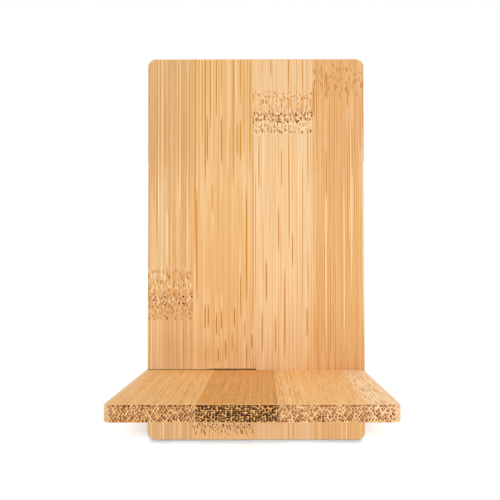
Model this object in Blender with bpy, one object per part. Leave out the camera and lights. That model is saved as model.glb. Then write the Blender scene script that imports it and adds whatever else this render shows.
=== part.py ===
"""Phone holder made of two flat bamboo boards that slot into each other at a right angle.

The tall panel leans back and carries the phone's back. The shelf passes through the panel's slot,
carries the phone's lower edge in front and reaches the desk behind, so that it is the rear leg too.
Each board is glued up from slats, edge to edge, and was slotted afterwards, so the slot parts the
slats that it crosses. The shelf slides out sideways to take the holder apart.
"""

import math

import bmesh
import bpy

# Boards, in metres
BOARD_THICKNESS = 0.0050
PANEL_WIDTH = 0.0800
PANEL_LENGTH = 0.1408
PANEL_CORNER_RADIUS = 0.0028
SHELF_WIDTH = 0.0805
SHELF_LENGTH = 0.1408
SHELF_CORNER_RADIUS = 0.0020
EASED_EDGE_RADIUS = 0.0005

# Slots: the panel's is open at its left side, and the shelf's at its right side
PANEL_SLOT_HEIGHT = 0.0205  # panel's bottom end to the slot's lower side
SHELF_SLOT_SHARE = 0.5  # where the slot's middle is along the shelf, from its front end
SNUG_CLEARANCE = 0.0001  # on the side where a slot bears on the other board
LOOSE_CLEARANCE = 0.0004  # on the slot's other side
SLOT_SHORTFALL = 0.0001  # each saw cut stops this far short of its board's middle
SLOT_END_CLEARANCE = 0.0003  # between the two slots' ends when the shelf is pushed home

# Widths of the slats from left to right, as shares of the board's width, and the glue between them
PANEL_SLAT_SHARES = (0.2075, 0.2775, 0.2775, 0.2375)
SHELF_SLAT_SHARES = (0.3135, 0.2750, 0.2975, 0.1140)
GLUE_LINE = 0.0001

# Colour of each slat from left to right, as the eye sees it
PANEL_TONES = ("#E3B780", "#E8B479", "#EDC08B", "#DFA76E")
SHELF_TONES = ("#E1A965", "#D59A57", "#E9B274", "#EFC492")
BAMBOO_ROUGHNESS = 0.55

# How round edges are divided and shaded, and how far a saw runs past the board
CORNER_SEGMENTS = 6
EASED_EDGE_SEGMENTS = 4
ROUND_PROFILE = 0.5
SHARPEST_SMOOTH_ANGLE = math.radians(40)
SAW_OVERRUN = 0.0020

QUARTER_TURN = math.radians(90)
SLOT_WIDTH = BOARD_THICKNESS + SNUG_CLEARANCE + LOOSE_CLEARANCE
LEFT = -1
RIGHT = 1

PANEL = {
    "name": "back",
    "width": PANEL_WIDTH,
    "length": PANEL_LENGTH,
    "corner_radius": PANEL_CORNER_RADIUS,
    "slat_shares": PANEL_SLAT_SHARES,
    "slot_side": LEFT,
    "slot_start": PANEL_SLOT_HEIGHT,
    "end_names": ("lower", "upper"),
    "tones": PANEL_TONES,
}
SHELF = {
    "name": "shelf",
    "width": SHELF_WIDTH,
    "length": SHELF_LENGTH,
    "corner_radius": SHELF_CORNER_RADIUS,
    "slat_shares": SHELF_SLAT_SHARES,
    "slot_side": RIGHT,
    "slot_start": SHELF_LENGTH * SHELF_SLOT_SHARE - SLOT_WIDTH / 2,
    "end_names": ("front", "rear"),
    "tones": SHELF_TONES,
}


def clear_scene():
    for obj in list(bpy.data.objects):
        bpy.data.objects.remove(obj)


def add_frame(name, parent=None, location=(0, 0, 0), turn=0):
    """An empty that carries pieces, turned about X."""
    frame = bpy.data.objects.new(name, None)
    bpy.context.collection.objects.link(frame)
    frame.parent = parent
    frame.location = location
    frame.rotation_euler = (turn, 0, 0)
    return frame


def add_piece(name, bm, frame):
    """An object that holds bm, in the axes of its frame."""
    bmesh.ops.recalc_face_normals(bm, faces=bm.faces)
    mesh = bpy.data.meshes.new(name)
    bm.to_mesh(mesh)
    bm.free()
    piece = bpy.data.objects.new(name, mesh)
    bpy.context.collection.objects.link(piece)
    piece.parent = frame
    return piece


def linear(channel):
    """One sRGB channel, 0 to 1, as linear light."""
    return channel / 12.92 if channel <= 0.04045 else ((channel + 0.055) / 1.055) ** 2.4


def bamboo(name, tone):
    """Sanded bamboo in the colour of one slat."""
    material = bpy.data.materials.new(name)
    material.use_nodes = True
    shader = material.node_tree.nodes["Principled BSDF"]
    channels = [int(tone[i : i + 2], 16) / 255 for i in (1, 3, 5)]
    shader.inputs["Base Color"].default_value = (*map(linear, channels), 1)
    shader.inputs["Roughness"].default_value = BAMBOO_ROUGHNESS
    shader.inputs["Metallic"].default_value = 0
    return material


def box(bm, low, high):
    """A box between two corners."""
    made = bmesh.ops.create_cube(bm, size=1)
    for vert in made["verts"]:
        vert.co = [low[i] if vert.co[i] < 0 else high[i] for i in range(3)]


def round_edges(bm, edges, radius, segments):
    bmesh.ops.bevel(
        bm,
        geom=edges,
        offset=radius,
        segments=segments,
        profile=ROUND_PROFILE,
        affect="EDGES",
        material=-1,
    )


def blank(board):
    """The glued-up board before it is slotted: rounded corners, every edge eased.

    X runs across the board from its middle, Y from its bottom or front end, and Z from its rear or
    lower face.
    """
    bm = bmesh.new()
    half = board["width"] / 2
    box(bm, (-half, 0, 0), (half, board["length"], BOARD_THICKNESS))
    through = [e for e in bm.edges if e.verts[0].co.xy == e.verts[1].co.xy]
    round_edges(bm, through, board["corner_radius"], CORNER_SEGMENTS)
    rims = [e for e in bm.edges if e.verts[0].co.z == e.verts[1].co.z]
    round_edges(bm, rims, EASED_EDGE_RADIUS, EASED_EDGE_SEGMENTS)
    return bm


def saw(bm, point, direction):
    """Cuts straight through at a point, throws away what lies that way and closes the cut."""
    everything = bm.verts[:] + bm.edges[:] + bm.faces[:]
    cut = bmesh.ops.bisect_plane(
        bm, geom=everything, plane_co=point, plane_no=direction, clear_outer=True
    )
    rim = [g for g in cut["geom_cut"] if isinstance(g, bmesh.types.BMEdge)]
    bmesh.ops.edgeloop_fill(bm, edges=rim)


def slot_span(board):
    """Where the saw is across the board, left end first: it leaves past the open side."""
    outside = board["width"] / 2 + SAW_OVERRUN
    if board["slot_side"] == LEFT:
        return -outside, -SLOT_SHORTFALL
    return SLOT_SHORTFALL, outside


def slats(board):
    """Left and right side of each slat, with half a glue line taken off at a seam."""
    width = board["width"]
    shares = board["slat_shares"]
    left = -width / 2
    spans = []
    for number, share in enumerate(shares, start=1):
        right = left + width * share / sum(shares)
        glue_left = 0 if number == 1 else GLUE_LINE / 2
        glue_right = 0 if number == len(shares) else GLUE_LINE / 2
        spans.append((left + glue_left, right - glue_right))
        left = right
    return spans


def slat_blank(board, number):
    """One slat of the board, over its whole length."""
    bm = blank(board)
    spans = slats(board)
    left, right = spans[number - 1]
    if number > 1:
        saw(bm, (left, 0, 0), (-1, 0, 0))
    if number < len(spans):
        saw(bm, (right, 0, 0), (1, 0, 0))
    return bm


def slot_cutter(board):
    """The saw cut as a solid, past the board's side and both of its faces."""
    left, right = slot_span(board)
    bm = bmesh.new()
    box(
        bm,
        (left, board["slot_start"], -SAW_OVERRUN),
        (right, board["slot_start"] + SLOT_WIDTH, BOARD_THICKNESS + SAW_OVERRUN),
    )
    cutter = add_piece(board["name"] + "_slot_cutter", bm, board["frame"])
    cutter.hide_render = True
    cutter.display_type = "WIRE"
    return cutter


def finish_slat(board, name, bm, tone):
    piece = add_piece(name, bm, board["frame"])
    piece.data.materials.append(bamboo(name + "_bamboo", tone))
    piece.data.shade_smooth()
    piece.data.set_sharp_from_angle(angle=SHARPEST_SMOOTH_ANGLE)
    return piece


def build_board(board):
    """One piece for each slat, or two where the slot parts it, from the board's left side."""
    cutter = slot_cutter(board)
    slot_left, slot_right = slot_span(board)
    slot_start = board["slot_start"]
    near_name, far_name = board["end_names"]
    for number, (left, right) in enumerate(slats(board), start=1):
        name = f"{board['name']}_slat_{number}"
        tone = board["tones"][number - 1]
        if slot_left <= left and right <= slot_right:
            near = slat_blank(board, number)
            saw(near, (0, slot_start, 0), (0, 1, 0))
            finish_slat(board, f"{name}_{near_name}", near, tone)
            far = slat_blank(board, number)
            saw(far, (0, slot_start + SLOT_WIDTH, 0), (0, -1, 0))
            finish_slat(board, f"{name}_{far_name}", far, tone)
            continue
        piece = finish_slat(board, name, slat_blank(board, number), tone)
        if left < slot_right and slot_left < right:
            notch = piece.modifiers.new("Slot", "BOOLEAN")
            notch.operation = "DIFFERENCE"
            notch.solver = "EXACT"
            notch.object = cutter


class Stance:
    """How the two boards stand on the desk.

    In the stand's own axes Y points square out of the panel's rear face and Z up along the panel,
    from the panel's lower rear edge. The stand leans back until the shelf's rear end is on the desk.
    """

    def __init__(self):
        self.shelf_bottom = PANEL_SLOT_HEIGHT + SNUG_CLEARANCE
        self.shelf_front = -(BOARD_THICKNESS + SNUG_CLEARANCE + SHELF["slot_start"])
        self.shelf_rear = self.shelf_front + SHELF_LENGTH
        self.lean = math.atan2(self.shelf_bottom, self.shelf_rear)
        self.slots_apart = 2 * SLOT_SHORTFALL + SLOT_END_CLEARANCE

    def backward(self, y, z):
        """How far behind the foot a point of the stand's axes is, level with the desk."""
        return y * math.cos(self.lean) + z * math.sin(self.lean)

    def origin(self):
        """Where the panel's lower rear edge goes, so that the holder stands over the origin."""
        ease = EASED_EDGE_RADIUS
        shelf_top = self.shelf_bottom + BOARD_THICKNESS
        front = self.backward(self.shelf_front + ease, self.shelf_bottom + ease) - ease
        rear_of_shelf = self.backward(self.shelf_rear - ease, shelf_top - ease) + ease
        rear_of_panel = self.backward(-ease, PANEL_LENGTH - ease) + ease
        rear = max(rear_of_shelf, rear_of_panel)
        height = ease * (1 - math.sin(self.lean) - math.cos(self.lean))
        return 0, -(front + rear) / 2, height

    def across(self):
        """Where each board's middle goes across the stand, the panel's first."""
        left = min(-PANEL_WIDTH / 2, -self.slots_apart - SHELF_WIDTH / 2)
        right = max(PANEL_WIDTH / 2, -self.slots_apart + SHELF_WIDTH / 2)
        panel = -(left + right) / 2
        return panel, panel - self.slots_apart


def main():
    clear_scene()
    stance = Stance()
    panel_x, shelf_x = stance.across()
    stand = add_frame("stand", location=stance.origin(), turn=-stance.lean)
    PANEL["frame"] = add_frame(
        "back_panel", stand, location=(panel_x, 0, 0), turn=QUARTER_TURN
    )
    SHELF["frame"] = add_frame(
        "shelf", stand, location=(shelf_x, stance.shelf_front, stance.shelf_bottom)
    )
    build_board(PANEL)
    build_board(SHELF)


main()
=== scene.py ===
"""Phone holder of two flat bamboo boards that slot into each other: its finish, light and camera.

Each board is glued up from slats, edge to edge. A slat is one finished piece, or two where a slot
saws through it. A board's own axes are X across from its middle, Y along from its bottom or front
end, and Z up from its rear or lower face. Grain, nodes and end grain are placed in those axes, in
millimetres.
"""

import math
from collections import namedtuple

import bmesh
import bpy
from mathutils import Matrix, Vector


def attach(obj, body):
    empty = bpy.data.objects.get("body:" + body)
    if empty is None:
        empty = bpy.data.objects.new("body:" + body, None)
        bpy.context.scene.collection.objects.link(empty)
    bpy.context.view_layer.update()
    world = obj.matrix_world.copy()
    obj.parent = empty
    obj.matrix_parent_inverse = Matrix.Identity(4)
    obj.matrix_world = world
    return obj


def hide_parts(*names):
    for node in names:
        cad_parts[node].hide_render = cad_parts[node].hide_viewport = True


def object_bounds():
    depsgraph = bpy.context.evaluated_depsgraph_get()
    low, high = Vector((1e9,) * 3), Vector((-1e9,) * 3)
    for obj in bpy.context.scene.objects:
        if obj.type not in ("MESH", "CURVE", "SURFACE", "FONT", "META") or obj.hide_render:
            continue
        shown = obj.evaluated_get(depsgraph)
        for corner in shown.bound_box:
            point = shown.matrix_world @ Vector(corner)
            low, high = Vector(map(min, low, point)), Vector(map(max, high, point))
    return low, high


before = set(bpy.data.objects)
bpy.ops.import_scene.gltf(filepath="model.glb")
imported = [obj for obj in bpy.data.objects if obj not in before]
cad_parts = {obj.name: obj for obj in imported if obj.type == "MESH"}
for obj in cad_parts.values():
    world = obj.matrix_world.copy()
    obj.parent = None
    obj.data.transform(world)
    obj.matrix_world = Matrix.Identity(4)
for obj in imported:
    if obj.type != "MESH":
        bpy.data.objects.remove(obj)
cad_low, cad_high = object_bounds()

# Boards and slots, in metres, as the frame has them
BOARD_THICKNESS = 0.0050
PANEL_WIDTH = 0.0800
PANEL_LENGTH = 0.1408
PANEL_CORNER_RADIUS = 0.0028
SHELF_WIDTH = 0.0805
SHELF_LENGTH = 0.1408
SHELF_CORNER_RADIUS = 0.0020
EASED_EDGE_RADIUS = 0.0005
PANEL_SLOT_HEIGHT = 0.0205
SNUG_CLEARANCE = 0.0001
SLOT_WIDTH = 0.0055
SLOT_SHORTFALL = 0.0001
SLOT_END_CLEARANCE = 0.0003

# How the finished boards differ from plain blanks
GLUE_LINE = 0.00002
SLOT_WORN = 0.0001  # the panel's slot is this much wider at its end than the frame's
SLOT_MOUTH_DROP = 0.00027  # and this much narrower again at its mouth
SLOT_STEP = -0.0173  # where across the panel it changes
CORNER_SEGMENTS = 12
EASED_EDGE_SEGMENTS = 4
SHARPEST_SMOOTH_ANGLE = math.radians(35)
SAW_OVERRUN = 0.0020

SLOTS_APART = 2 * SLOT_SHORTFALL + SLOT_END_CLEARANCE
SHELF_SLOT_START = (SHELF_LENGTH - SLOT_WIDTH) / 2
SHELF_FRONT = -(BOARD_THICKNESS + SNUG_CLEARANCE + SHELF_SLOT_START)
SHELF_REAR = SHELF_FRONT + SHELF_LENGTH
SHELF_BOTTOM = PANEL_SLOT_HEIGHT + SNUG_CLEARANCE
LEAN = math.atan2(SHELF_BOTTOM, SHELF_REAR)
QUARTER_TURN = math.radians(90)

# Bamboo as the eye sees it, in millimetres
MM = 0.001
THICKNESS = BOARD_THICKNESS / MM
FIBRE_SLANT = 0.73  # sideways run of the fibre layers through the thickness, so edges show grain
FIBRE_WAVER = 0.3  # how far the fibres wander sideways
WAVER_CELL = (8, 60)  # over how much across and along they do
KNOT_BREAK = 7.3  # how far fibres are out of line on the two sides of a node
PALE_TISSUE = "#F1D0A0"
DARK_HEART = "#1E0600"
PORE_DEPTH = 0.00003  # in metres
PORE_STRENGTH = 0.14

# Steps of the seed from slat to slat, and within a slat from one layer to the next
SLAT_SEEDS = 11
LINE_SEEDS = 3.3
FIRST_BAND_SEED = 0.5
BAND_SEEDS = 5.5
ROW_SEEDS = 7

# Ground of a slat. Each layer of streaks has a width, a length and a weight in the tone.
STREAK_LAYERS = ((0.30, 70, 1.15), (0.8, 100, 0.08), (2.4, 140, 0.06), (7.0, 110, 0.10))
MOTTLE_CELL = (0.5, 4.5)  # width and length of the mottle, whose weight each slat gives
GROUND_ROUGHNESS = 0.6
NOISE_MEAN = 0.5
DARK_LEVEL = 0.15  # levels of the ground's three tones
BODY_LEVEL = 0.5
PALE_LEVEL = 0.85

# Marks on the ground
STREAK_HALF_WIDTH = 0.27
DOT_HALF_WIDTH = 0.30
MARK_SOFTNESS = 0.06  # how far the edge of a mark fades on each side
RIM_WIDTH = 0.32  # paler tissue around a dark mark
DASH_RIM = 0.4  # how strong that tissue is, as a share of the mark's own strength
ROW_RIM = 0.5
STREAK_RIM = 0.35
DOT_RIM = 0.4
LINE_APART = 99  # puts each line on a stretch of noise of its own
LINE_COMES = (0.36, 0.56)  # noise at which a line starts to show and shows in full
FAINTEST = 0.6  # the faintest of strewn dashes, as a share of the strongest
ROW_RANDOMNESS = 0.85
ROW_STRETCH = (0.7, 1.4)  # height of the dashes in a row, as shares of what the row says
ROW_SIZE = (0.6, 1.2)  # their size
ROW_STRENGTH = (0.7, 1)  # and how strong they are
BELOW_SHELF = (-5, 16)  # ends of a streak that runs up from the panel's foot to the shelf

# Cover of a listed mark: its strength in its middle, 0 at its edge, less the farther off
NO_COVER = -99
STREAK_FULL = 0.65  # cover at which a streak has its whole tone
STREAK_RIM_COVER = (-40, -1)  # covers between which the tissue around a streak gets paler
DOT_RIM_COVER = (-16, -4)
DOT_COVER = (-1.6, 0)  # covers between which a dot takes its tone
DOT_CORE_COVER = (0.4, 0.9)
DOT_TONE = "#7E3800"
DOT_CORE = "#2A0C00"

# Nodes of the culm
RAGGED_GRAIN = (0.9, 0.3, 0)  # noise cells to a millimetre across and along
RAGGEDNESS = 1.6  # how far the edges of a band or stain come and go
BAND_FADE = (0.6, 1.2)  # where it starts to fade and is gone, as shares of half its height

# Sawn ends and sides
# Painted highlight: a paler tone on the eased edges between the faces and the sawn ends, where
# light catches them
PAINTED_HIGHLIGHT_FACING = (0.15, 0.45)  # how squarely a surface faces along the fibres as the painted highlight on its eased edge comes in
PAINTED_HIGHLIGHT_STRENGTH = 0.6
PAINTED_HIGHLIGHT_TONE = "#F6BF82"
SAWN_FACING = (0.62, 0.82)  # and as it turns into end grain
BROWNED_SCALE = 0.4  # brown patches to a millimetre
BROWNED_NOISE = (0.40, 0.75)
BROWNED_STRENGTH = 0.45
BROWNED_TONE = "#B8763A"
BUNDLE_RANDOMNESS = 0.6
BUNDLES_CHANGE_FROM = 0.5  # height above the lower face from which bundles near their top share
# Painted sheen along the shelf's two sides
PAINTED_SHEEN = "#F8D4A8"
PAINTED_SHEEN_WIDTH = 2.4  # strip of painted sheen along the shelf's sides
PAINTED_SHEEN_FULL = 0.5  # how much of that width shows it in full
PAINTED_SHEEN_STRENGTH = 0.6
RIM_DOTS_DEPTH = 0.34  # middle of the row of scorched dots, below the show face

# Lines side by side, one to a pitch, that come and go over a length: half their width, how strong
# the strongest is, their tone, and how strong their pale rims are as a share of that
Lines = namedtuple("Lines", "pitch half length strength tone rim", defaults=(0,))
# Dashes strewn at random, one to a cell of so many millimetres across and along. Reach is the
# size of the largest as a share of its cell, least that of the smallest as a share of the largest.
Dashes = namedtuple("Dashes", "cell reach strength tone least", defaults=(0.0,))
# A listed streak: its place across, its two ends, and how faint it is, from 0 to 1
Streak = namedtuple("Streak", "across low high faintness")
# A row of upright dashes: its middle, how far it rises and falls with the node's ridge, over what
# height its dashes are strewn by chance, their spacing, half their width, half their height, their
# tone, and how dark their hearts are
Row = namedtuple("Row", "height swing jitter pitch half tall tone heart", defaults=(0,))
# A band across a node that is strewn with dashes: its middle and half its height
Band = namedtuple("Band", "height half dashes")
# A tint across a node or over a longer stretch of the slat, or painted light low on a panel slat:
# its middle, half its height, how strong it is
Stain = namedtuple("Stain", "height half strength tone")
# Sawn end of a slat: its ground, the fibre bundles in it, how dark their hearts are, how strong
# they are near the show face as a share of what they are below, how scorched the row of bundles on
# the rim is, and by how many degrees the bundles' rows are turned
EndGrain = namedtuple("EndGrain", "ground bundles heart top_share scorched turn", defaults=(45,))
# The scorched dots along the rim of a sawn end, just below the show face
RIM_DOTS = Row(THICKNESS - RIM_DOTS_DEPTH, 0, 0.15, 1.15, 0.33, 0.30, "#7C3204", 0.6)


def dot(across, along, faintness=0.1):
    """A round dark mark in a node, as a streak no longer than it is wide."""
    return Streak(across, along - DOT_HALF_WIDTH, along + DOT_HALF_WIDTH, faintness)


PANEL_SLATS = [
    {
        "nodes": ("back_slat_1_lower", "back_slat_1_upper"),
        "slot": "back_bamboo_tan",
        "contrast": 1.0,
        "mottle": 0.5,
        "share": 0.2075,
        "tones": ("#CC955A", "#DAA86D", "#E3BA84"),
        "lines": [
            Lines(1.2, 0.15, 90, 1.1, "#EFD2A6"),
            Lines(0.80, 0.13, 60, 1.0, "#B67426", 0.5),
        ],
        "streak_tone": "#C48034",
        "streaks": [
            Streak(-38.5, 88, 146, 0.5),
            Streak(-37.7, 80, 146, 0.45),
            Streak(-36.6, 68, 146, 0.3),
            Streak(-35.5, 90, 146, 0.5),
            Streak(-33.7, 94, 146, 0.65),
            Streak(-33.3, 98, 128, 0.65),
            Streak(-28.6, 88, 146, 0.5),
            Streak(-24.7, 78, 146, 0.5),
        ],
        "pale_streaks": [
            Streak(-38.1, 105, 146, 0.2),
            Streak(-36.0, 74, 146, 0.0),
            Streak(-34.8, 100, 146, 0.4),
            Streak(-28.1, 82, 146, 0.0),
            Streak(-32.9, 62, 86, 0.3),
            Streak(-34.1, *BELOW_SHELF, 0.0),
            Streak(-30.0, *BELOW_SHELF, 0.0),
            Streak(-28.2, *BELOW_SHELF, 0.1),
            Streak(-25.2, *BELOW_SHELF, 0.3),
        ],
        "knot": {
            "height": 51.3,
            "ridge": [
                (-40, 0.4), (-37.9, 0.0), (-36, 1), (-33.8, 0.1), (-31, 0.8), (-27, 0.1),
                (-23.4, 0.9),
            ],
            "stains": [
                Stain(49.2, 5.4, 0.45, "#CE965C"),
                Stain(57.5, 5.0, 0.2, "#D29E62"),
                Stain(140, 44, 0.28, "#BE905C"),
                # painted light: paler near the panel's foot, against the shade of the shelf
                Stain(14, 18, 0.20, "#F0D6B0"),
            ],
            "bands": [
                Band(56.5, 7.5, Dashes((0.9, 4.2), 0.28, 0.9, "#F6DAAE", 0.5)),
                Band(55.5, 7.5, Dashes((1.0, 3.0), 0.26, 1.0, "#A8640E", 0.6)),
                Band(49.6, 3.8, Dashes((0.85, 2.0), 0.32, 0.9, "#AA6820", 0.5)),
                Band(49.5, 3.6, Dashes((0.9, 3.4), 0.27, 0.9, "#F2D2A2", 0.4)),
            ],
            "rows": [
                Row(51.2, 1.6, 2.4, 1.15, 0.28, 0.50, "#A05E1A"),
                Row(45.6, 0.8, 2.4, 1.10, 0.28, 0.50, "#A6641E"),
            ],
            "dots": [
                dot(-33.6, 52.4, 0.1),
                dot(-26.8, 52.6, 0.4),
                dot(-23.6, 52.5, 0.6),
                dot(-37.6, 51.3, 0.5),
                dot(-33.6, 49.6, 0.5),
                dot(-28.3, 50.3, 0.4),
                dot(-26.9, 50.0, 0),
            ],
        },
        "end": EndGrain(
            ground="#DCAE78",
            bundles=Dashes((0.62, 0.84), 0.48, 1.0, "#80420C", 0.6),
            heart=0.15,
            top_share=0.8,
            scorched=0.6,
        ),
    },
    {
        "nodes": ("back_slat_2_lower", "back_slat_2_upper"),
        "slot": "back_bamboo_honey",
        "contrast": 1.0,
        "mottle": 0.2,
        "share": 0.2775,
        "tones": ("#D8A05C", "#E1B073", "#E7BF88"),
        "lines": [
            Lines(1.2, 0.14, 90, 1.0, "#F2D6A8"),
            Lines(0.85, 0.13, 50, 1.2, "#C67E14", 0.5),
        ],
        "streak_tone": "#C87E0A",
        "streaks": [
            Streak(-22.5, 60, 190, 0.2),
            Streak(-20.0, 108, 146, 0.45),
            Streak(-18.8, 93, 160, 0.0),
            Streak(-16.9, 113, 150, 0.3),
            Streak(-18.0, 102, 120, 0.1),
            Streak(-14.6, 118, 148, 0.2),
            Streak(-12.7, 124, 160, 0.5),
            Streak(-12.7, 101, 120, 0.0),
            Streak(-8.4, 92, 150, 0.25),
            Streak(-5.7, 122, 155, 0.4),
            Streak(-5.7, 102, 119, 0.05),
            Streak(-6.9, 104, 118, 0.35),
            Streak(-4.4, 104, 146, 0.5),
            Streak(-21.8, 49, 94, 0.15),
            Streak(-3.5, 49, 94, 0.15),
            Streak(-5.7, 44, 62, 0.4),
            Streak(-16.2, 83, 95, 0.5),
            Streak(-18.8, 40, 50, 0.1),
            Streak(-17.6, 41, 50, 0.3),
            Streak(-14.6, 38, 47, 0.2),
            Streak(-12.7, 40, 48, 0.3),
            Streak(-8.0, 41, 49, 0.15),
            Streak(-11.2, 29, 37, 0.3),
            Streak(-13.9, 28, 34, 0.3),
            Streak(-8.8, 32, 40, 0.5),
            Streak(-1.5, 33, 39, 0.3),
            Streak(-4.2, 37, 44, 0.5),
            Streak(-3.5, 22, 36, 0.4),
            Streak(-2.1, 98, 146, 0.35),
            Streak(-22.4, -2, 3.4, 0.3),
            Streak(-20.6, -2, 3.0, 0.3),
            Streak(-19.0, -2, 3.2, 0.2),
            Streak(-17.3, -2, 2.8, 0.4),
            Streak(-15.8, -2, 3.4, 0.2),
        ],
        "pale_streaks": [
            Streak(-20.5, 104, 150, 0.4),
            Streak(-16.3, 100, 150, 0.1),
            Streak(-14.2, 110, 146, 0.3),
            Streak(-10.4, 96, 146, 0.3),
            Streak(-9.7, 112, 146, 0.3),
            Streak(-7.1, 120, 146, 0.3),
        ],
        "knot": {
            "height": 4.2,
            "ridge": [
                (-23.2, 0.5), (-18, 0.6), (-15.4, 1), (-14, 0), (-12.3, 0.9), (-10.4, 0),
                (-8.2, 0.9), (-6.8, 0.2), (-5.4, 0.6), (-3.9, 0.1), (-1.2, 0.9),
            ],
            "stains": [
                Stain(5.0, 1.6, 0.2, "#C99460"),
                Stain(140, 44, 0.24, "#CC9A5C"),
                # painted light: paler near the panel's foot, against the shade of the shelf
                Stain(12, 17, 0.42, "#FAD8A6"),
            ],
            "bands": [
                Band(5.0, 1.6, Dashes((0.9, 2.0), 0.32, 1.0, "#FAE2B8", 0.5)),
                Band(5.0, 1.4, Dashes((0.8, 1.2), 0.38, 1.0, "#94561C", 0.5)),
            ],
            "rows": [
                Row(4.9, 0.9, 1.4, 0.95, 0.30, 0.44, "#8A4E14"),
                Row(2.9, 1.2, 1.0, 1.10, 0.24, 0.80, "#B06A14"),
            ],
            "dots": [dot(-2.5, 5.6), dot(-12.1, 5.5, 0.3)],
        },
        "end": EndGrain(
            ground="#D8A266",
            bundles=Dashes((0.62, 0.76), 0.50, 1.0, "#6E3406", 0.6),
            heart=0.2,
            top_share=0.8,
            scorched=0.6,
        ),
    },
    {
        "nodes": ("back_slat_3",),
        "slot": "back_bamboo_cream",
        "contrast": 1.1,
        "mottle": 0.2,
        "share": 0.2775,
        "tones": ("#E0B079", "#E8C190", "#ECCCA3"),
        "lines": [
            Lines(1.2, 0.14, 80, 0.9, "#F4DEB8"),
            Lines(0.85, 0.13, 50, 1.4, "#D08A22", 0.5),
        ],
        "streak_tone": "#CA7C0C",
        "streaks": [
            Streak(12.2, 127, 152, 0.3),
            Streak(12.2, 68, 116, 0.4),
            Streak(17.3, 126, 152, 0.4),
            Streak(5.6, 133, 148, 0.3),
            Streak(9.5, 92, 108, 0.5),
            Streak(1.2, 91, 113, 0.5),
            Streak(3.8, 50, 67, 0.3),
            Streak(8.4, 68, 87, 0.4),
            Streak(13.5, 63, 77, 0.4),
            Streak(10.5, 29, 64, 0.4),
            Streak(7.1, 31, 46, 0.4),
            Streak(18.8, 37, 49, 0.4),
            Streak(2.3, 31, 48, 0.4),
            Streak(9.5, 120.6, 126.2, 0.0),
            Streak(12.1, 119.2, 126.6, 0.0),
            Streak(13.0, 120.4, 126.0, 0.0),
            Streak(1.9, 120.8, 126.0, 0.2),
            Streak(17.2, 122.0, 126.6, 0.0),
            Streak(20.2, 122.4, 126.2, 0.0),
            Streak(7.3, 113.8, 118.0, 0.3),
            Streak(12.3, 114.6, 117.6, 0.2),
            Streak(0.1, 114.4, 118.2, 0.2),
            Streak(21.0, 117, 131, 0.1),
            Streak(12.0, *BELOW_SHELF, 0.45),
            Streak(13.7, *BELOW_SHELF, 0.5),
        ],
        "pale_streaks": [Streak(19.0, *BELOW_SHELF, 0.0), Streak(10.6, *BELOW_SHELF, 0.2)],
        "knot": {
            "height": 119.5,
            "ridge": [
                (-1.1, 0.3), (1.1, 0.8), (3.3, 0.2), (5.2, 1), (8.5, 0), (10.4, 0.9), (12, 0.2),
                (13.7, 0.8), (15.1, 0), (16.6, 0.5), (18.5, 1), (20.9, 0.1),
            ],
            "stains": [
                Stain(119.0, 4.5, 0.3, "#DDA868"),
                Stain(116.2, 1.8, 0.3, "#F3DAB0"),
                Stain(145, 40, 0.24, "#D2AA7C"),
                # painted light: paler near the panel's foot, against the shade of the shelf
                Stain(10, 12, 0.2, "#F2D8AE"),
            ],
            "bands": [
                Band(118.0, 5.0, Dashes((0.9, 3.2), 0.30, 0.9, "#FAE4BE", 0.4)),
                Band(118.6, 4.4, Dashes((0.9, 2.2), 0.30, 0.9, "#A86014", 0.3)),
                Band(127.3, 1.6, Dashes((1.1, 1.8), 0.32, 0.9, "#C06C04", 0.5)),
                Band(123.3, 2.6, Dashes((0.9, 8.0), 0.19, 0.9, "#C47208", 0.3)),
                Band(115.9, 1.3, Dashes((1.1, 2.4), 0.30, 0.9, "#B66C18", 0.3)),
            ],
            "rows": [
                Row(126.0, 2.0, 2.6, 1.20, 0.26, 0.66, "#BC6E08"),
                Row(120.2, 0.6, 1.6, 0.90, 0.37, 0.72, "#A05600"),
                Row(118.5, 0.8, 2.0, 0.90, 0.36, 0.70, "#A25C04"),
                Row(114.0, 0.4, 1.6, 0.95, 0.32, 0.62, "#A8660C"),
            ],
            "dots": [
                dot(8.1, 117.3, 0),
                dot(9.0, 117.3, 0),
                dot(15.1, 117.3, 0.1),
                dot(15.7, 117.7, 0.2),
                dot(-1.1, 117.2, 0.1),
                dot(8.5, 119.6, 0.1),
                dot(14.9, 119.9, 0.1),
                dot(3.3, 119.3, 0.2),
                dot(20.7, 119.6, 0.1),
                dot(11.8, 117.3, 0.2),
            ],
        },
        "end": EndGrain(
            ground="#E4BC8C",
            bundles=Dashes((0.66, 0.80), 0.46, 1.0, "#8C4E10", 0.6),
            heart=0.1,
            top_share=0.8,
            scorched=0.3,
        ),
    },
    {
        "nodes": ("back_slat_4",),
        "slot": "back_bamboo_reddish",
        "contrast": 1.0,
        "mottle": 0.5,
        "share": 0.2375,
        "tones": ("#D69858", "#DDA86A", "#E4B880"),
        "lines": [
            Lines(1.1, 0.15, 50, 1.1, "#EFCF9C"),
            Lines(0.80, 0.14, 36, 1.4, "#C07620", 0.45),
        ],
        "streak_tone": "#C4741E",
        "streaks": [
            Streak(21.5, 119, 132, 0.25),
            Streak(26.3, 125, 136, 0.35),
            Streak(33.9, 122, 134, 0.3),
            Streak(26.0, 88, 108, 0.4),
            Streak(35.6, 96, 119, 0.5),
            Streak(38.6, 106, 130, 0.5),
            Streak(21.8, *BELOW_SHELF, 0.6),
            Streak(24.8, *BELOW_SHELF, 0.6),
            Streak(28.0, *BELOW_SHELF, 0.65),
        ],
        "pale_streaks": [
            Streak(25.8, 29, 112, 0.3),
            Streak(32.5, 32, 97, 0.25),
            Streak(35.1, 50, 127, 0.35),
            Streak(39.5, 36, 119, 0.3),
            Streak(23.0, *BELOW_SHELF, 0.0),
            Streak(31.4, *BELOW_SHELF, 0.1),
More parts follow.
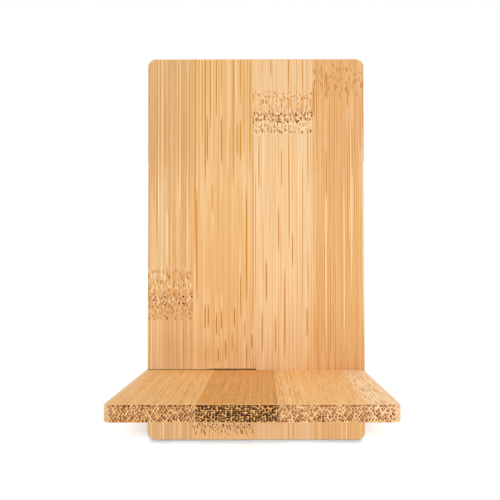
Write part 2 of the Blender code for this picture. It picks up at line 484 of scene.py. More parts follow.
            Streak(33.1, *BELOW_SHELF, 0.0),
        ],
        "knot": {
            "height": 147.0,
            # the second stain is painted light: paler near the panel's foot, against the shade of
            # the shelf
            "stains": [Stain(138, 46, 0.24, "#CC945E"), Stain(10, 12, 0.3, "#F4CC94")],
            "bands": [
                Band(134.5, 5.6, Dashes((0.85, 3.0), 0.27, 0.8, "#B87430", 0.4)),
                Band(132.0, 6.5, Dashes((1.3, 5.5), 0.24, 0.7, "#B46C24", 0.4)),
            ],
        },
        "end": EndGrain(
            ground="#DCAA74",
            bundles=Dashes((0.64, 0.80), 0.48, 1.0, "#80440C", 0.6),
            heart=0.15,
            top_share=0.8,
            scorched=0.5,
        ),
    },
]
SHELF_SLATS = [
    {
        "nodes": ("shelf_slat_1",),
        "slot": "shelf_bamboo_honey",
        "contrast": 0.6,
        "mottle": 0.6,
        # painted sheen along this side of the shelf
        "painted_sheen_side": -40.25,
        "share": 0.3135,
        "tones": ("#EEB06A", "#F6BE78", "#FCD296"),
        "lines": [Lines(0.6, 0.14, 20, 0.7, "#FCDAA6"), Lines(0.6, 0.14, 12, 0.7, "#CC8638")],
        "dashes": Dashes((1.2, 20), 0.22, 0.30, "#C48A4A"),
        "end": EndGrain(
            ground="#E2B27A",
            bundles=Dashes((0.61, 0.86), 0.53, 1.0, "#743200", 0.6),
            heart=0.25,
            top_share=0.85,
            scorched=1.0,
        ),
    },
    {
        "nodes": ("shelf_slat_2",),
        "slot": "shelf_bamboo_amber",
        "contrast": 0.8,
        "mottle": 0.9,
        "share": 0.2750,
        "tones": ("#D89248", "#E4A457", "#EDB570"),
        "lines": [
            Lines(0.7, 0.14, 20, 0.8, "#F4C084"),
            Lines(0.6, 0.15, 24, 0.9, "#C07424", 0.3),
        ],
        "dashes": Dashes((1.1, 10), 0.22, 0.5, "#BC7020"),
        "end": EndGrain(
            ground="#EAB068",
            bundles=Dashes((0.76, 0.58), 0.61, 1.0, "#3C0E00", 0.7),
            turn=0,
            heart=0.9,
            top_share=1.0,
            scorched=0.9,
        ),
    },
    {
        "nodes": ("shelf_slat_3_front", "shelf_slat_3_rear"),
        "slot": "shelf_bamboo_tan",
        "contrast": 0.6,
        "mottle": 0.5,
        "share": 0.2975,
        "tones": ("#F4B66C", "#FCC480", "#FFD496"),
        "lines": [Lines(0.6, 0.14, 20, 0.6, "#FEE0B0"), Lines(0.6, 0.14, 12, 0.7, "#D28C3C")],
        "dashes": Dashes((1.3, 26), 0.22, 0.55, "#D88C3C", 0.3),
        "end": EndGrain(
            ground="#ECBC86",
            bundles=Dashes((0.64, 0.78), 0.55, 1.0, "#763400", 0.6),
            heart=0.2,
            top_share=0.7,
            scorched=0.45,
        ),
    },
    {
        "nodes": ("shelf_slat_4_front", "shelf_slat_4_rear"),
        "slot": "shelf_bamboo_cream",
        "contrast": 0.6,
        "mottle": 0.3,
        # painted sheen along this side of the shelf
        "painted_sheen_side": 40.25,
        "share": 0.1140,
        "tones": ("#FACA90", "#FFD8A4", "#FFE8C2"),
        "lines": [Lines(0.7, 0.14, 14, 0.8, "#FFECCB"), Lines(0.6, 0.14, 8, 0.9, "#D89048")],
        "dashes": Dashes((0.85, 12), 0.28, 1.0, "#DE8C34", 0.5),
        "end": EndGrain(
            ground="#FACE9A",
            bundles=Dashes((0.66, 0.88), 0.53, 1.0, "#763400", 0.6),
            heart=0.2,
            top_share=0.85,
            scorched=0.5,
        ),
    },
]
PANEL = {
    "width": PANEL_WIDTH,
    "length": PANEL_LENGTH,
    "corner_radius": PANEL_CORNER_RADIUS,
    "slats": PANEL_SLATS,
    "body": "back_panel",
    "slot_start": PANEL_SLOT_HEIGHT,
    "slot_width": SLOT_WIDTH + SLOT_WORN,
    "slot_side": -1,
    "mouth_drop": SLOT_MOUTH_DROP,
    "first_seed": 3,
}
SHELF = {
    "width": SHELF_WIDTH,
    "length": SHELF_LENGTH,
    "corner_radius": SHELF_CORNER_RADIUS,
    "slats": SHELF_SLATS,
    "body": "shelf",
    "slot_start": SHELF_SLOT_START,
    "slot_width": SLOT_WIDTH,
    "slot_side": 1,
    "mouth_drop": 0,
    "first_seed": 57,
}


# Frames of the two boards


def backward(y, z):
    """How far behind the panel's foot a point of the stand is, level with the desk."""
    return y * math.cos(LEAN) + z * math.sin(LEAN)


def stand_frame():
    """World place of the panel's lower rear edge, with the lean."""
    ease = EASED_EDGE_RADIUS
    front = backward(SHELF_FRONT + ease, SHELF_BOTTOM + ease) - ease
    rear_of_shelf = backward(SHELF_REAR - ease, SHELF_BOTTOM + BOARD_THICKNESS - ease) + ease
    rear_of_panel = backward(-ease, PANEL_LENGTH - ease) + ease
    middle = (front + max(rear_of_shelf, rear_of_panel)) / 2
    height = ease * (1 - math.sin(LEAN) - math.cos(LEAN))
    return Matrix.Translation((0, -middle, height)) @ Matrix.Rotation(-LEAN, 4, "X")


STAND = stand_frame()
PANEL_X = (SLOTS_APART + (SHELF_WIDTH - PANEL_WIDTH) / 2) / 2
SHELF_X = PANEL_X - SLOTS_APART
UPRIGHT = Matrix.Rotation(QUARTER_TURN, 4, "X")
PANEL["frame"] = STAND @ Matrix.Translation((PANEL_X, 0, 0)) @ UPRIGHT
SHELF["frame"] = STAND @ Matrix.Translation((SHELF_X, SHELF_FRONT, SHELF_BOTTOM))


# Shapes


def box(low, high):
    bm = bmesh.new()
    bmesh.ops.create_cube(bm, size=1)
    for vert in bm.verts:
        vert.co = [low[i] if vert.co[i] < 0 else high[i] for i in range(3)]
    return bm


def round_edges(bm, edges, radius, segments):
    bmesh.ops.bevel(
        bm,
        geom=edges,
        offset=radius,
        segments=segments,
        profile=0.5,
        affect="EDGES",
        material=-1,
    )


def blank(board):
    """The whole board before it is slotted: rounded corners, every edge eased."""
    half = board["width"] / 2
    bm = box((-half, 0, 0), (half, board["length"], BOARD_THICKNESS))
    through = [e for e in bm.edges if e.verts[0].co.xy == e.verts[1].co.xy]
    round_edges(bm, through, board["corner_radius"], CORNER_SEGMENTS)
    rims = [e for e in bm.edges if e.verts[0].co.z == e.verts[1].co.z]
    round_edges(bm, rims, EASED_EDGE_RADIUS, EASED_EDGE_SEGMENTS)
    return bm


def saw(bm, point, direction):
    """Cuts straight through at a point, throws away what lies that way and closes the cut."""
    everything = bm.verts[:] + bm.edges[:] + bm.faces[:]
    cut = bmesh.ops.bisect_plane(
        bm, geom=everything, plane_co=point, plane_no=direction, clear_outer=True
    )
    rim = [g for g in cut["geom_cut"] if isinstance(g, bmesh.types.BMEdge)]
    bmesh.ops.edgeloop_fill(bm, edges=rim)


def slat_sides(board):
    """Left and right side of each slat, from the board's middle."""
    left = -board["width"] / 2
    sides = []
    for slat in board["slats"]:
        right = left + board["width"] * slat["share"]
        sides.append((left, right))
        left = right
    return sides


def slat_blank(board, number):
    bm = blank(board)
    left, right = slat_sides(board)[number]
    if number > 0:
        saw(bm, (left + GLUE_LINE / 2, 0, 0), (-1, 0, 0))
    if number < len(board["slats"]) - 1:
        saw(bm, (right - GLUE_LINE / 2, 0, 0), (1, 0, 0))
    return bm


def new_object(name, bm):
    bmesh.ops.recalc_face_normals(bm, faces=bm.faces)
    mesh = bpy.data.meshes.new(name)
    bm.to_mesh(mesh)
    bm.free()
    obj = bpy.data.objects.new(name, mesh)
    bpy.context.collection.objects.link(obj)
    return obj


def slot_cutter(board):
    """The saw cut of the board's slot, out past the open side and both faces."""
    side = board["slot_side"]
    ends = sorted((side * SLOT_SHORTFALL, side * (board["width"] / 2 + SAW_OVERRUN)))
    start = board["slot_start"]
    low = (ends[0], start, -SAW_OVERRUN)
    high = (ends[1], start + board["slot_width"], BOARD_THICKNESS + SAW_OVERRUN)
    return box(low, high)


def notched(bm, cutter_bm):
    """bm less what the cutter holds."""
    body = new_object("slat_to_notch", bm)
    cutter = new_object("slot_cutter", cutter_bm)
    notch = body.modifiers.new("Notch", "BOOLEAN")
    notch.operation = "DIFFERENCE"
    notch.solver = "EXACT"
    notch.object = cutter
    result = bmesh.new()
    result.from_object(body, bpy.context.evaluated_depsgraph_get())
    for obj in (body, cutter):
        mesh = obj.data
        bpy.data.objects.remove(obj)
        bpy.data.meshes.remove(mesh)
    return result


def slat_solids(board, number):
    """The slat's one or two solids in the board's axes, the nearer end first."""
    bm = slat_blank(board, number)
    start = board["slot_start"]
    slot_end = start + board["slot_width"]
    left, right = slat_sides(board)[number]
    if len(board["slats"][number]["nodes"]) == 2:
        far_part = slat_blank(board, number)
        saw(bm, (0, start, 0), (0, 1, 0))
        saw(far_part, (0, slot_end - board["mouth_drop"], 0), (0, -1, 0))
        if board["mouth_drop"] and left < SLOT_STEP < right:
            step = (SLOT_STEP, start, -SAW_OVERRUN)
            inner = (SAW_OVERRUN, slot_end, BOARD_THICKNESS + SAW_OVERRUN)
            far_part = notched(far_part, box(step, inner))
        return [bm, far_part]
    if left < board["slot_side"] * SLOT_SHORTFALL < right:
        return [notched(bm, slot_cutter(board))]
    return [bm]


# Materials


def linear(hex_colour):
    """An sRGB hex colour as linear RGBA."""
    channels = [int(hex_colour[i : i + 2], 16) / 255 for i in (1, 3, 5)]
    return (*(c / 12.92 if c <= 0.04045 else ((c + 0.055) / 1.055) ** 2.4 for c in channels), 1)


def add(tree, kind, inputs=None, out=0, **settings):
    """Adds a node with its settings. An input takes a value or a socket; gives the output."""
    node = tree.nodes.new("ShaderNode" + kind)
    for key, value in settings.items():
        setattr(node, key, value)
    for key, value in (inputs or {}).items():
        if isinstance(value, bpy.types.NodeSocket):
            tree.links.new(value, node.inputs[key])
        else:
            node.inputs[key].default_value = value
    return node.outputs[out]


def board_axes(tree, board):
    """Object coordinates in the board's own axes, in millimetres."""
    place, turn, _ = board["frame"].decompose()
    here = add(tree, "TexCoord", out="Object")
    scale = (MM, MM, MM)
    inputs = {"Vector": here, "Location": place, "Rotation": turn.to_euler(), "Scale": scale}
    return add(tree, "Mapping", inputs, vector_type="TEXTURE")


def grain_plane(tree, axes):
    """Across and along the fibres, in millimetres, as on the show face."""
    cells = (1 / WAVER_CELL[0], 1 / WAVER_CELL[1], 1 / WAVER_CELL[0])
    place = add(tree, "VectorMath", {0: axes, 1: cells}, operation="MULTIPLY")
    waver = add(tree, "TexNoise", {"Vector": place, "Scale": 1, "Detail": 1})
    on_face = add(tree, "VectorMath", {0: axes, 1: (0, 0, THICKNESS)}, operation="SUBTRACT")
    slant = {0: on_face, 1: (1, 0, FIBRE_SLANT)}
    across = add(tree, "VectorMath", slant, "Value", operation="DOT_PRODUCT")
    across = add(tree, "Math", {0: waver, 1: FIBRE_WAVER, 2: across}, operation="MULTIPLY_ADD")
    across = add(tree, "Math", {0: across, 1: FIBRE_WAVER * NOISE_MEAN}, operation="SUBTRACT")
    along = add(tree, "SeparateXYZ", {0: axes}, "Y")
    return across, along


def ground(tree, fibres, slat, seed):
    """Straight streaks of four widths and a fine mottle, from dark tone through body to pale."""
    contrast = slat["contrast"]
    patches = [(width, length, weight * contrast) for width, length, weight in STREAK_LAYERS]
    patches.append((*MOTTLE_CELL, slat["mottle"]))
    level = BODY_LEVEL
    for width, length, weight in patches:
        inputs = {0: fibres, 1: (1 / width, 1 / length, 0), 2: (seed, seed, 0)}
        place = add(tree, "VectorMath", inputs, operation="MULTIPLY_ADD")
        inputs = {"Vector": place, "Scale": 1, "Detail": 2, "Roughness": GROUND_ROUGHNESS}
        noise = add(tree, "TexNoise", inputs, noise_dimensions="2D")
        centred = add(tree, "Math", {0: noise, 1: NOISE_MEAN}, operation="SUBTRACT")
        level = add(tree, "Math", {0: centred, 1: weight, 2: level}, operation="MULTIPLY_ADD")
    colour = add(tree, "ValToRGB", {"Fac": level})
    stops = colour.node.color_ramp.elements
    dark, body, pale = map(linear, slat["tones"])
    stops[0].position = DARK_LEVEL
    stops[0].color = dark
    stops[1].position = PALE_LEVEL
    stops[1].color = pale
    stops.new(BODY_LEVEL).color = body
    return level, colour


def marks(tree, beyond, strength, tone, rim=0, heart=0):
    """Layers of marks: the mark itself, on a pale rim and with a dark heart where it has them.

    beyond is how far outside the nearest mark's edge a point is, in millimetres.
    """
    layers = []
    if rim:
        rim_strength = add(tree, "Math", {0: strength, 1: rim}, operation="MULTIPLY")
        inputs = {0: beyond, 1: RIM_WIDTH, 2: MARK_SOFTNESS, 3: 0, 4: rim_strength}
        layers.append((add(tree, "MapRange", inputs), PALE_TISSUE))
    inputs = {0: beyond, 1: MARK_SOFTNESS, 2: -MARK_SOFTNESS, 3: 0, 4: strength}
    layers.append((add(tree, "MapRange", inputs), tone))
    if heart:
        heart_strength = add(tree, "Math", {0: strength, 1: heart}, operation="MULTIPLY")
        inputs = {0: beyond, 1: 0, 2: -2 * MARK_SOFTNESS, 3: 0, 4: heart_strength}
        layers.append((add(tree, "MapRange", inputs), DARK_HEART))
    return layers


def fine_lines(tree, fibres, lines, seed):
    """Lines of one width side by side, each with its own darkness, that come and go."""
    cells = (1 / lines.pitch, 1 / lines.length, 0)
    place = {0: fibres, 1: cells, 2: (seed, 0, 0)}
    place = add(tree, "VectorMath", place, operation="MULTIPLY_ADD")
    place = add(tree, "SeparateXYZ", {0: place})
    cell = add(tree, "TexVoronoi", {"W": place, "Scale": 1}, "Distance", voronoi_dimensions="1D")
    inputs = {0: cell, 1: lines.pitch, 2: -lines.half}
    beyond = add(tree, "Math", inputs, operation="MULTIPLY_ADD")
    chance = add(tree, "SeparateColor", {0: cell.node.outputs["Color"]}, "Green")
    far_apart = add(tree, "Math", {0: chance, 1: LINE_APART}, operation="MULTIPLY")
    run = add(tree, "CombineXYZ", {"X": far_apart, "Y": place.node.outputs["Y"]})
    run = add(tree, "TexNoise", {"Vector": run, "Scale": 1, "Detail": 1}, noise_dimensions="2D")
    inputs = {0: run, 1: LINE_COMES[0], 2: LINE_COMES[1], 3: 0, 4: lines.strength}
    comes = add(tree, "MapRange", inputs)
    strength = add(tree, "Math", {0: chance, 1: comes}, operation="MULTIPLY")
    return beyond, strength


def strewn(tree, plane, dashes, seed, turn=0, randomness=1):
    """Pointed dashes strewn over a plane, each of its own size and darkness."""
    width, length = dashes.cell
    inputs = {
        "Vector": plane,
        "Location": (seed, seed, 0),
        "Rotation": (0, 0, math.radians(turn)),
        "Scale": (1 / width, 1 / length, 0),
    }
    place = add(tree, "Mapping", inputs)
    inputs = {"Vector": place, "Scale": 1, "Randomness": randomness}
    distance = add(tree, "TexVoronoi", inputs, "Distance", voronoi_dimensions="2D")
    chance = add(tree, "SeparateColor", {0: distance.node.outputs["Color"]})
    inputs = {0: chance, 3: dashes.reach * dashes.least, 4: dashes.reach}
    size = add(tree, "MapRange", inputs)
    beyond = add(tree, "Math", {0: distance, 1: size}, operation="SUBTRACT")
    beyond = add(tree, "Math", {0: beyond, 1: width}, operation="MULTIPLY")
    green = chance.node.outputs["Green"]
    inputs = {0: green, 3: FAINTEST * dashes.strength, 4: dashes.strength}
    return beyond, add(tree, "MapRange", inputs)


def row_of_dashes(tree, across, along, row, seed, ridge=None):
    """Upright dashes side by side in a row, each at its own height."""
    place = {0: across, 1: 1 / row.pitch, 2: seed}
    place = add(tree, "Math", place, operation="MULTIPLY_ADD")
    inputs = {"W": place, "Scale": 1, "Randomness": ROW_RANDOMNESS}
    cell = add(tree, "TexVoronoi", inputs, "W", voronoi_dimensions="1D")
    chance = add(tree, "SeparateColor", {0: cell.node.outputs["Color"]})
    middle = add(tree, "Math", {0: cell, 1: seed}, operation="SUBTRACT")
    middle = add(tree, "Math", {0: middle, 1: row.pitch}, operation="MULTIPLY")
    low = row.height - (row.jitter + row.swing) / 2
    height = add(tree, "Math", {0: chance, 1: row.jitter, 2: low}, operation="MULTIPLY_ADD")
    if ridge:
        rise = ridge_line(tree, middle, ridge)
        height = add(tree, "Math", {0: rise, 1: row.swing, 2: height}, operation="MULTIPLY_ADD")
    sideways = add(tree, "Math", {0: across, 1: middle}, operation="SUBTRACT")
    up = add(tree, "Math", {0: along, 1: height}, operation="SUBTRACT")
    inputs = {0: chance.node.outputs["Blue"], 3: ROW_STRETCH[0], 4: ROW_STRETCH[1]}
    stretch = add(tree, "MapRange", inputs)
    stretch = add(tree, "Math", {0: row.half / row.tall, 1: stretch}, operation="DIVIDE")
    up = add(tree, "Math", {0: up, 1: stretch}, operation="MULTIPLY")
    apart = add(tree, "CombineXYZ", {"X": sideways, "Y": up})
    apart = add(tree, "VectorMath", {0: apart}, "Value", operation="LENGTH")
    green = chance.node.outputs["Green"]
    size = {0: green, 3: ROW_SIZE[0] * row.half, 4: ROW_SIZE[1] * row.half}
    size = add(tree, "MapRange", size)
    beyond = add(tree, "Math", {0: apart, 1: size}, operation="SUBTRACT")
    strength = {0: green, 3: ROW_STRENGTH[0], 4: ROW_STRENGTH[1]}
    return beyond, add(tree, "MapRange", strength)


def drawn(tree, plane, streaks, half_width):
    """How much listed streaks cover a point: most in the middle of a strong one."""
    cover = NO_COVER
    for streak in streaks:
        middle = (streak.low + streak.high) / 2
        half_length = (streak.high - streak.low) / 2
        size = (1 / half_width, 1 / half_length, 0)
        shift = (-streak.across / half_width, -middle / half_length, 0)
        place = add(tree, "VectorMath", {0: plane, 1: size, 2: shift}, operation="MULTIPLY_ADD")
        square = add(tree, "VectorMath", {0: place, 1: place}, operation="MULTIPLY")
        reach = {0: square, 1: square}
        reach = add(tree, "VectorMath", reach, "Value", operation="DOT_PRODUCT")
        strength = 1 - streak.faintness
        this = {0: reach, 1: -strength, 2: strength}
        this = add(tree, "Math", this, operation="MULTIPLY_ADD")
        cover = add(tree, "Math", {0: cover, 1: this}, operation="MAXIMUM")
    return cover


def drawn_layers(tree, plane, streaks, tone, pale_rim=0):
    """The streaks, some with a paler rim where the tissue beside a bundle is bleached."""
    cover = drawn(tree, plane, streaks, STREAK_HALF_WIDTH)
    layers = []
    if pale_rim:
        rim = {0: cover, 1: STREAK_RIM_COVER[0], 2: STREAK_RIM_COVER[1], 3: 0, 4: pale_rim}
        layers.append((add(tree, "MapRange", rim), PALE_TISSUE))
    layers.append((add(tree, "MapRange", {0: cover, 2: STREAK_FULL}), tone))
    return layers


def ridge_line(tree, across, ridge):
    """How high a node's rows stand, from 0 to 1, on a line through given places."""
    low, high = ridge[0][0], ridge[-1][0]
    share = add(tree, "MapRange", {0: across, 1: low, 2: high})
    line = add(tree, "FloatCurve", {"Value": share})
    curve = line.node.mapping.curves[0]
    curve.points[0].location = (0, ridge[0][1])
    curve.points[1].location = (1, ridge[-1][1])
    for place, rise in ridge[1:-1]:
        curve.points.new((place - low) / (high - low), rise)
    line.node.mapping.update()
    return line


def within(tree, along, ragged, middle, half):
    """1 about a height, with ragged edges, fading to 0 above and below."""
    apart = add(tree, "Math", {0: ragged, 1: RAGGEDNESS, 2: along}, operation="MULTIPLY_ADD")
    middle += RAGGEDNESS * NOISE_MEAN
    apart = add(tree, "Math", {0: apart, 1: middle}, operation="SUBTRACT")
    apart = add(tree, "Math", {0: apart}, operation="ABSOLUTE")
    inputs = {0: apart, 1: half * BAND_FADE[0], 2: half * BAND_FADE[1], 3: 1, 4: 0}
    return add(tree, "MapRange", inputs, interpolation_type="SMOOTHSTEP")


def knot_layers(tree, across, along, plane, knot, seed):
    """Stain, strewn dashes, rows of dashes and dark dots where a node of the culm crosses."""
    inputs = {0: plane, 1: RAGGED_GRAIN, 2: (seed, 0, 0)}
    place = add(tree, "VectorMath", inputs, operation="MULTIPLY_ADD")
    inputs = {"Vector": place, "Scale": 1, "Detail": 1}
    ragged = add(tree, "TexNoise", inputs, noise_dimensions="2D")
    layers = []
    # Stains, among them painted light that makes the panel slats paler near the foot
    for stain in knot["stains"]:
        inside = within(tree, along, ragged, stain.height, stain.half)
        factor = add(tree, "Math", {0: inside, 1: stain.strength}, operation="MULTIPLY")
        layers.append((factor, stain.tone))
    for step, band in enumerate(knot["bands"]):
        band_seed = seed + FIRST_BAND_SEED + BAND_SEEDS * step
        beyond, strength = strewn(tree, plane, band.dashes, band_seed)
        inside = within(tree, along, ragged, band.height, band.half)
        strength = add(tree, "Math", {0: strength, 1: inside}, operation="MULTIPLY")
        layers += marks(tree, beyond, strength, band.dashes.tone)
    for step, row in enumerate(knot.get("rows", ())):
        row_seed = seed + ROW_SEEDS * step
        beyond, strength = row_of_dashes(tree, across, along, row, row_seed, knot["ridge"])
        layers += marks(tree, beyond, strength, row.tone, ROW_RIM, row.heart)
    if "dots" in knot:
        cover = drawn(tree, plane, knot["dots"], DOT_HALF_WIDTH)
        rim = {0: cover, 1: DOT_RIM_COVER[0], 2: DOT_RIM_COVER[1], 3: 0, 4: DOT_RIM}
        layers.append((add(tree, "MapRange", rim), PALE_TISSUE))
        for (start, full), tone in ((DOT_COVER, DOT_TONE), (DOT_CORE_COVER, DOT_CORE)):
            layers.append((add(tree, "MapRange", {0: cover, 1: start, 2: full}), tone))
    return layers


def overlaid(tree, colour, layers):
    """The colour with each layer's tone laid over it by its factor."""
    for factor, tone in layers:
        inputs = {"Factor": factor, "A": colour, "B": linear(tone)}
        colour = add(tree, "Mix", inputs, "Result", data_type="RGBA")
    return colour


def end_grain(tree, axes, end, seed, pale):
    """Sawn end: fibre bundles cut across, brown with dark hearts, a scorched row at the top."""
    across = add(tree, "SeparateXYZ", {0: axes})
    up = across.node.outputs["Z"]
    section = add(tree, "CombineXYZ", {"X": across, "Y": up})
    patches = {"Vector": section, "Scale": BROWNED_SCALE, "Detail": 2}
    patches = add(tree, "TexNoise", patches, noise_dimensions="2D")
    browned = {0: patches, 1: BROWNED_NOISE[0], 2: BROWNED_NOISE[1], 3: 0, 4: BROWNED_STRENGTH}
    layers = [(add(tree, "MapRange", browned), BROWNED_TONE)]

    beyond, strength = strewn(tree, section, end.bundles, seed, end.turn, BUNDLE_RANDOMNESS)
    deeper = {0: up, 1: BUNDLES_CHANGE_FROM, 2: THICKNESS, 3: 1, 4: end.top_share}
    deeper = add(tree, "MapRange", deeper)
    strength = add(tree, "Math", {0: strength, 1: deeper}, operation="MULTIPLY")
    # the painted sheen along the shelf's sides also fades the bundles there
    if pale:
        layers.append((pale, PAINTED_SHEEN))
        dark = add(tree, "Math", {0: 1, 1: pale}, operation="SUBTRACT")
        strength = add(tree, "Math", {0: strength, 1: dark}, operation="MULTIPLY")
    layers += marks(tree, beyond, strength, end.bundles.tone, 0, end.heart)

    beyond, strength = row_of_dashes(tree, across, up, RIM_DOTS, seed)
    strength = add(tree, "Math", {0: strength, 1: end.scorched}, operation="MULTIPLY")
    layers += marks(tree, beyond, strength, RIM_DOTS.tone, 0, RIM_DOTS.heart)
    return overlaid(tree, linear(end.ground), layers)


def along_fibres(tree, board):
    """How far the surface faces along the fibres: 0 on the faces, 1 on a sawn end."""
    direction = board["frame"].to_3x3() @ Vector((0, 1, 0))
    normal = add(tree, "TexCoord", out="Normal")
    facing = add(tree, "VectorMath", {0: normal, 1: direction}, "Value", operation="DOT_PRODUCT")
    return add(tree, "Math", {0: facing}, operation="ABSOLUTE")


def painted_sheen_strip(tree, axes, side):
    """How strong the painted sheen is: most along the board's side, fading out into the slat."""
    across = add(tree, "SeparateXYZ", {0: axes})
    apart = add(tree, "Math", {0: across, 1: side}, operation="SUBTRACT")
    apart = add(tree, "Math", {0: apart}, operation="ABSOLUTE")
    full = PAINTED_SHEEN_FULL * PAINTED_SHEEN_WIDTH
    inputs = {0: apart, 1: full, 2: PAINTED_SHEEN_WIDTH, 3: PAINTED_SHEEN_STRENGTH, 4: 0}
    return add(tree, "MapRange", inputs, interpolation_type="SMOOTHSTEP")


def bamboo(board, number):
    """Bamboo, a slat sanded satin: straight fibre bundles, darker than the tissue around them.

    The bundles are 0.3 to 0.6 mm across. They show as streaks along the slat and as dark dots on
    its ends, and at a node of the culm they break up into wavy rows of short dashes.
    """
    slat = board["slats"][number]
    seed = board["first_seed"] + SLAT_SEEDS * number
    material = bpy.data.materials.new(slat["slot"])
    material.use_nodes = True
    tree = material.node_tree
    shader = tree.nodes["Principled BSDF"]
    axes = board_axes(tree, board)
    across, along = grain_plane(tree, axes)
    face = add(tree, "CombineXYZ", {"X": across, "Y": along})
    broken = across
    knot = slat.get("knot")
    if knot:
        inputs = {0: along, 1: knot["height"]}
        above = add(tree, "Math", inputs, operation="GREATER_THAN")
        broken = add(tree, "Math", {0: above, 1: KNOT_BREAK, 2: broken}, operation="MULTIPLY_ADD")
    fibres = add(tree, "CombineXYZ", {"X": broken, "Y": along})

    level, colour = ground(tree, fibres, slat, seed)
    layers = []
    for step, lines in enumerate(slat["lines"]):
        beyond, strength = fine_lines(tree, fibres, lines, seed + LINE_SEEDS * step)
        layers += marks(tree, beyond, strength, lines.tone, lines.rim)
    if "dashes" in slat:
        beyond, strength = strewn(tree, fibres, slat["dashes"], seed)
        layers += marks(tree, beyond, strength, slat["dashes"].tone, DASH_RIM)
    if "streaks" in slat:
        layers += drawn_layers(tree, face, slat["pale_streaks"], PALE_TISSUE)
        layers += drawn_layers(tree, face, slat["streaks"], slat["streak_tone"], STREAK_RIM)
    if knot:
        layers += knot_layers(tree, across, along, face, knot, seed)
    colour = overlaid(tree, colour, layers)

    facing = along_fibres(tree, board)
    # painted highlight on the eased edges
    eased = {0: facing, 1: PAINTED_HIGHLIGHT_FACING[0], 2: PAINTED_HIGHLIGHT_FACING[1], 3: 0, 4: PAINTED_HIGHLIGHT_STRENGTH}
    colour = overlaid(tree, colour, [(add(tree, "MapRange", eased), PAINTED_HIGHLIGHT_TONE)])
    # Painted sheen along the shelf's sides, on its top and its sawn ends
    pale = None
    if "painted_sheen_side" in slat:
        pale = painted_sheen_strip(tree, axes, slat["painted_sheen_side"])
        colour = overlaid(tree, colour, [(pale, PAINTED_SHEEN)])
    sawn = {0: facing, 1: SAWN_FACING[0], 2: SAWN_FACING[1]}
    inputs = {
        "Factor": add(tree, "MapRange", sawn, interpolation_type="SMOOTHSTEP"),
        "A": colour,
        "B": end_grain(tree, axes, slat["end"], seed, pale),
    }
    colour = add(tree, "Mix", inputs, "Result", data_type="RGBA")
    tree.links.new(colour, shader.inputs["Base Color"])

    pores = {"Strength": PORE_STRENGTH, "Distance": PORE_DEPTH, "Height": level}
    pores = add(tree, "Bump", pores, "Normal")
    tree.links.new(pores, shader.inputs["Normal"])
    shader.inputs["Roughness"].default_value = 0.55
    shader.inputs["IOR"].default_value = 1.45
    shader.inputs["Specular IOR Level"].default_value = 0.12
    return material


def finish_board(board):
    for number, slat in enumerate(board["slats"]):
        material = bamboo(board, number)
        for node, bm in zip(slat["nodes"], slat_solids(board, number)):
            bm.transform(board["frame"])
            piece = new_object(node + "_sanded", bm)
            piece.data.materials.append(material)
            piece.data.shade_smooth()
            piece.data.set_sharp_from_angle(angle=SHARPEST_SMOOTH_ANGLE)
            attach(piece, board["body"])
            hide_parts(node)


# Camera, nearly square to the panel. Pixels are those of the 500 by 500 frame.

PICTURE = 500
AXIS_PIXEL = (260.70, 260.99)  # where the camera's axis meets the frame
FOCAL_PIXELS = 682.99
CAMERA_PLACE = (0.002387, -0.257033, 0.059793)  # right, forward and up from the panel's foot
CAMERA_TURN = {"Z": 0.148, "X": 1.340, "Y": 0.071}  # degrees from square to the panel
SENSOR = 36


def make_camera():
    data = bpy.data.cameras.new("camera")
    data.sensor_width = SENSOR
    data.lens = FOCAL_PIXELS / PICTURE * SENSOR
    data.shift_x = (PICTURE / 2 - AXIS_PIXEL[0]) / PICTURE
    data.shift_y = (AXIS_PIXEL[1] - PICTURE / 2) / PICTURE
    data.clip_start = 0.01
    camera = bpy.data.objects.new("camera", data)
    bpy.context.collection.objects.link(camera)
    place = Vector((PANEL_X, 0, 0)) + Vector(CAMERA_PLACE)
    camera.matrix_world = STAND @ Matrix.Translation(place)
    for axis, degrees in CAMERA_TURN.items():
        camera.matrix_world @= Matrix.Rotation(math.radians(degrees), 4, axis)
    camera.matrix_world @= UPRIGHT
    bpy.context.scene.camera = camera


# Floor, world and lamps

WORLD_LIGHT = 0.27
FLOOR_HALF = 0.8
FLOOR_DEPTH = 0.01
FLOOR_LIGHT = 0.92  # what the paper throws back on the holder
FLOOR_SHOWN = 1.3  # how bright the camera sees it around the holder, where its shadow stays
FAR_FLOOR_SHOWN = 2.3  # and far off, where it is bleached to white
FOOT_SHOWN = (1.60, 2.29, 3.00, 1)  # in front of the foot, against the warm light of the boards
FOOT_PLACE = (0, -0.04, 0)
FOOT_REACH = (0.043, 0.04, 1)
FOOT_GONE = 1.4  # where that tint has gone, in reaches from its place
FAR = (8, 22)  # where the paper gets brighter, in the same measure


def seen(tree):
    """1 for rays from the camera, off gloss and through glass, else 0."""
    path = add(tree, "LightPath", out="Is Camera Ray")
    ray = path
    for name in ("Is Glossy Ray", "Is Transmission Ray"):
        ray = add(tree, "Math", {0: ray, 1: path.node.outputs[name]}, operation="MAXIMUM")
    return ray


def make_world():
    world = bpy.data.worlds.new("light_tent")
    world.use_nodes = True
    bpy.context.scene.world = world
    tree = world.node_tree
    strength = add(tree, "MapRange", {0: seen(tree), 3: WORLD_LIGHT, 4: 1})
    background = tree.nodes["Background"]
    background.inputs["Color"].default_value = (1, 1, 1, 1)
    tree.links.new(strength, background.inputs["Strength"])


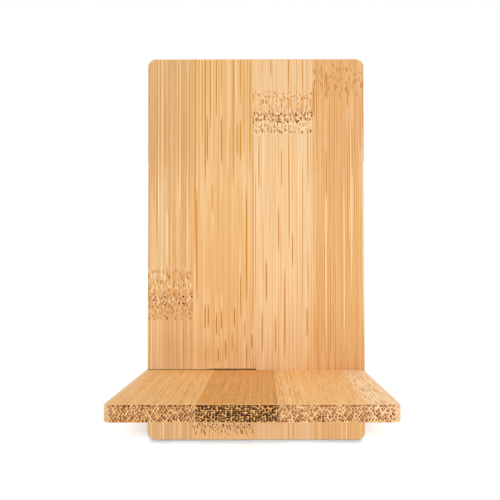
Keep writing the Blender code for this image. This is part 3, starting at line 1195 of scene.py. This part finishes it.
def make_floor():
    """White paper. The camera sees it bleached, with the shadow left at the holder's foot."""
    low = (-FLOOR_HALF, -FLOOR_HALF, -FLOOR_DEPTH)
    floor = new_object("floor", box(low, (FLOOR_HALF, FLOOR_HALF, 0)))
    material = bpy.data.materials.new("white_paper")
    material.use_nodes = True
    tree = material.node_tree
    tree.nodes.remove(tree.nodes["Principled BSDF"])
    here = add(tree, "TexCoord", out="Object")
    inputs = {"Vector": here, "Location": FOOT_PLACE, "Scale": FOOT_REACH}
    apart = add(tree, "Mapping", inputs, vector_type="TEXTURE")
    apart = add(tree, "VectorMath", {0: apart}, "Value", operation="LENGTH")
    foot = add(tree, "MapRange", {0: apart, 1: 1, 2: FOOT_GONE, 3: 1, 4: 0})
    paper_shown = {0: apart, 1: FAR[0], 2: FAR[1], 3: FLOOR_SHOWN, 4: FAR_FLOOR_SHOWN}
    paper_shown = add(tree, "MapRange", paper_shown)
    inputs = {"Factor": foot, "A": paper_shown, "B": FOOT_SHOWN}
    shown = add(tree, "Mix", inputs, "Result", data_type="RGBA")
    inputs = {"Factor": seen(tree), "A": (FLOOR_LIGHT,) * 3 + (1,), "B": shown}
    shade = add(tree, "Mix", inputs, "Result", data_type="RGBA")
    paper = add(tree, "BsdfDiffuse", {"Color": shade})
    tree.links.new(paper, tree.nodes["Material Output"].inputs["Surface"])
    floor.data.materials.append(material)


# Place of each lamp, its side and its power
LAMPS = {
    "key": ((-0.55, -0.80, 0.55), 0.6, 1.74),
    "fill": ((0.60, -0.80, 0.40), 0.6, 2.50),
    "front": ((0.0, -0.90, 0.50), 0.4, 1.76),
    "low": ((0.0, -0.95, 0.12), 0.4, 1.95),
    "top": ((0.0, 0.15, 1.4), 1.1, 8.0),
    "back": ((0.3, 0.95, 0.55), 0.6, 1.9),
}


def make_lamps():
    """Soft square lamps that face the holder."""
    for name, (place, side, power) in LAMPS.items():
        data = bpy.data.lights.new(name, "AREA")
        data.shape = "SQUARE"
        data.size = side
        data.energy = power
        lamp = bpy.data.objects.new(name, data)
        bpy.context.collection.objects.link(lamp)
        lamp.location = place
        towards = (cad_low + cad_high) / 2 - Vector(place)
        lamp.rotation_euler = towards.to_track_quat("-Z", "Y").to_euler()


finish_board(PANEL)
finish_board(SHELF)
make_camera()
make_world()
make_floor()
make_lamps()
bpy.context.scene.view_settings.view_transform = "Standard"
